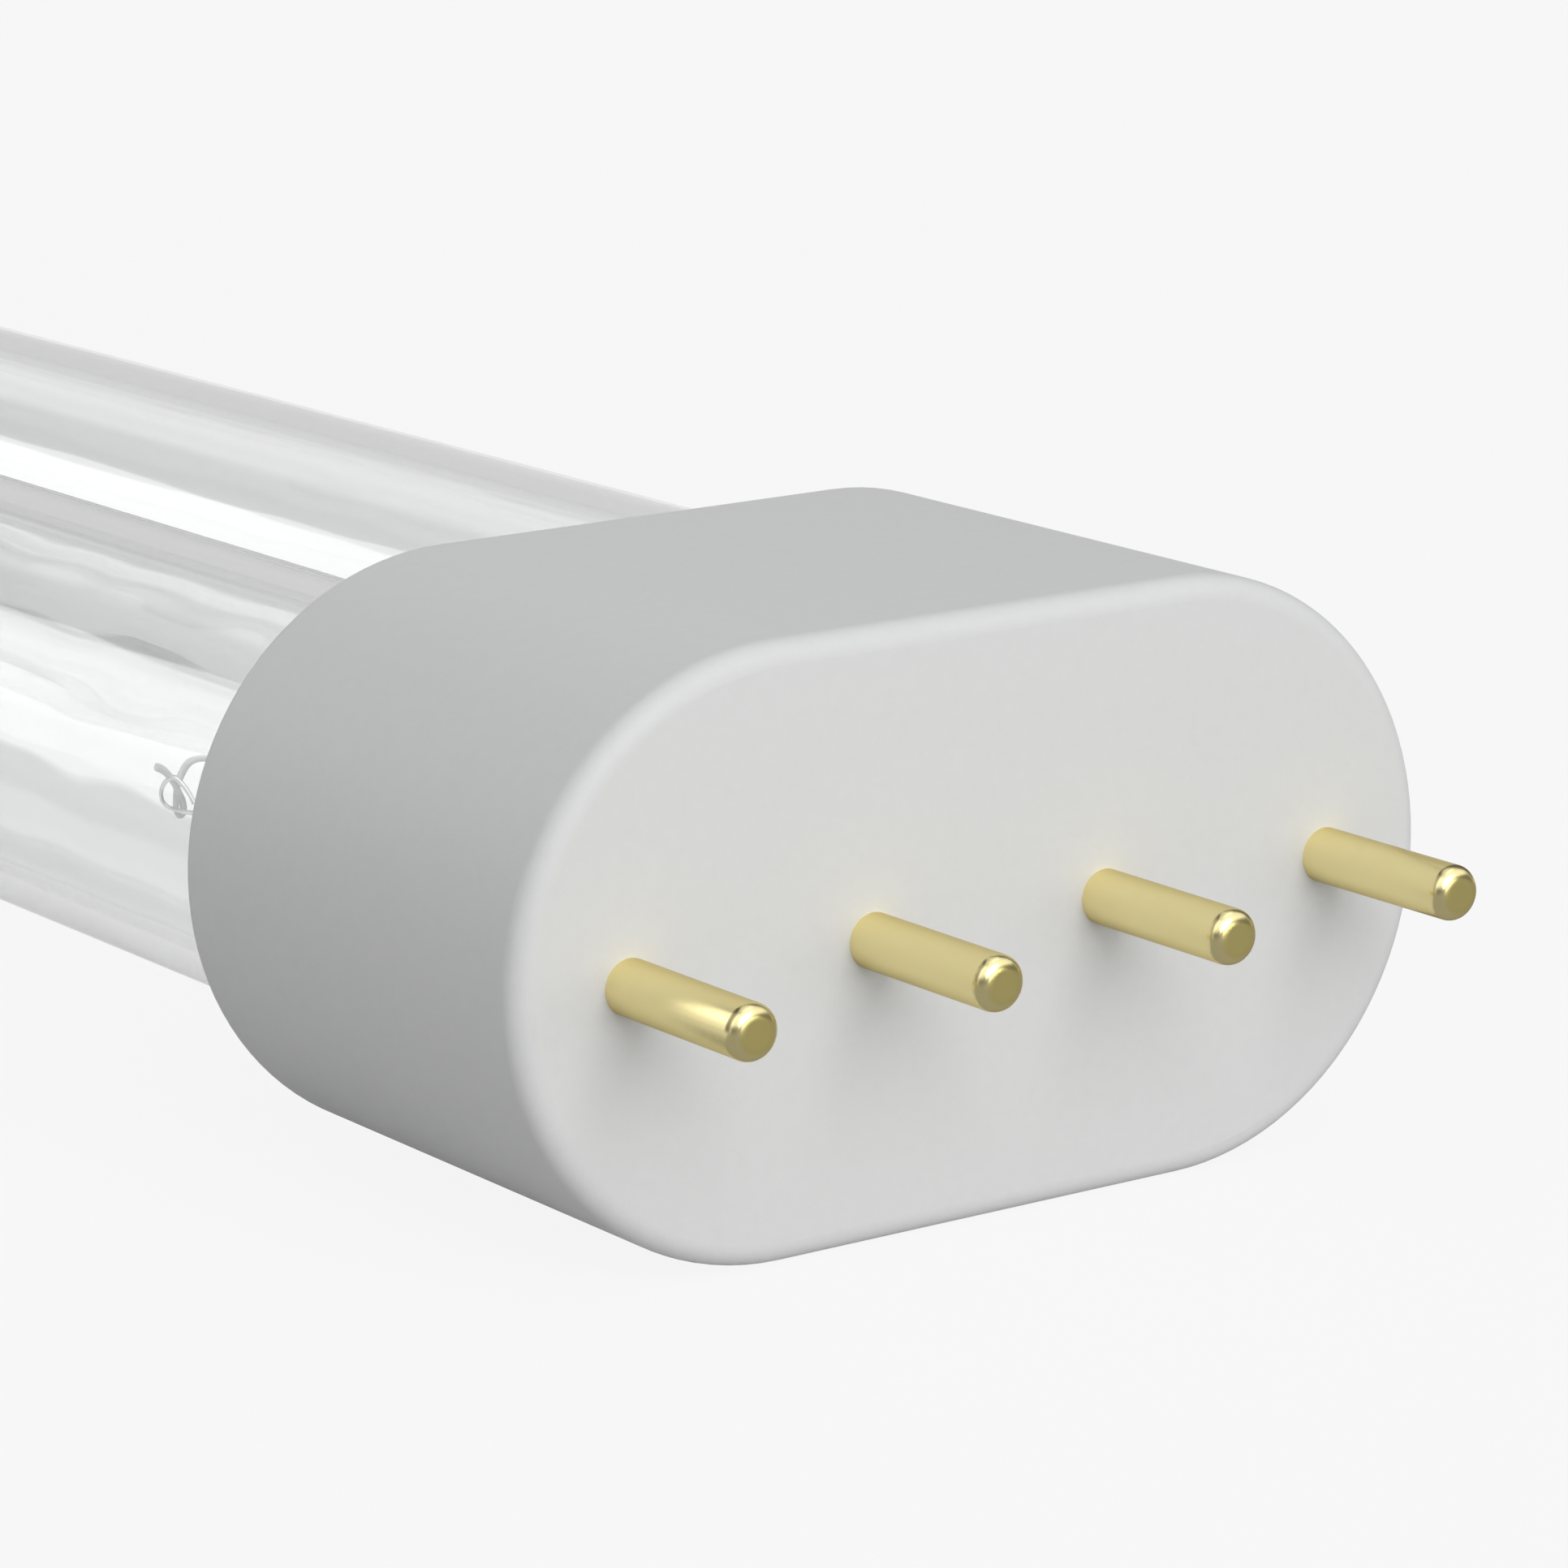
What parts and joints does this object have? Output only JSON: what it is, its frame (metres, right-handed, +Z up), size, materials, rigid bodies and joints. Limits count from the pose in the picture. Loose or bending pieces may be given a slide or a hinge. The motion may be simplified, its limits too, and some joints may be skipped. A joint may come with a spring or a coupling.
{
  "type": "germicidal lamp tube",
  "caption": "Compact ultraviolet discharge lamp of clear glass, with joined parallel legs, an electrode in each leg, and a plastic base with contact pins in a line.",
  "frame": {"origin": "centre of the row of pins on the base's front face", "axes": "+X along the row of pins, +Y from the base towards the far end of the glass, +Z up; the pins point along -Y"},
  "size_m": [0.043, 0.2251, 0.024],
  "materials": {
    "base": "fine matt moulded surface, pale grey white",
    "cement": "rough cast cement, off white",
    "vessel": "clear drawn tube with faint lengthwise streaks",
    "stem": "clear pressed glass",
    "pin": "turned, bright, pale gold",
    "wire": "drawn nickel-plated wire",
    "coil": "dull dark tungsten with pale emitter",
    "mercury": "liquid mirror"
  },
  "bodies": {
    "root": {"base_housing": "base", "capping_cement": "cement", "contact_pin_1": "pin", "contact_pin_2": "pin", "contact_pin_3": "pin", "contact_pin_4": "pin", "discharge_vessel": "vessel", "electrode_coil_left": "coil", "electrode_coil_right": "coil", "exhaust_tube_left": "stem", "exhaust_tube_right": "stem", "glass_stem_left": "stem", "glass_stem_right": "stem", "lead_wire_1": "wire", "lead_wire_2": "wire", "lead_wire_3": "wire", "lead_wire_4": "wire", "mercury_bead": "mercury"}
  },
  "joints": []
}
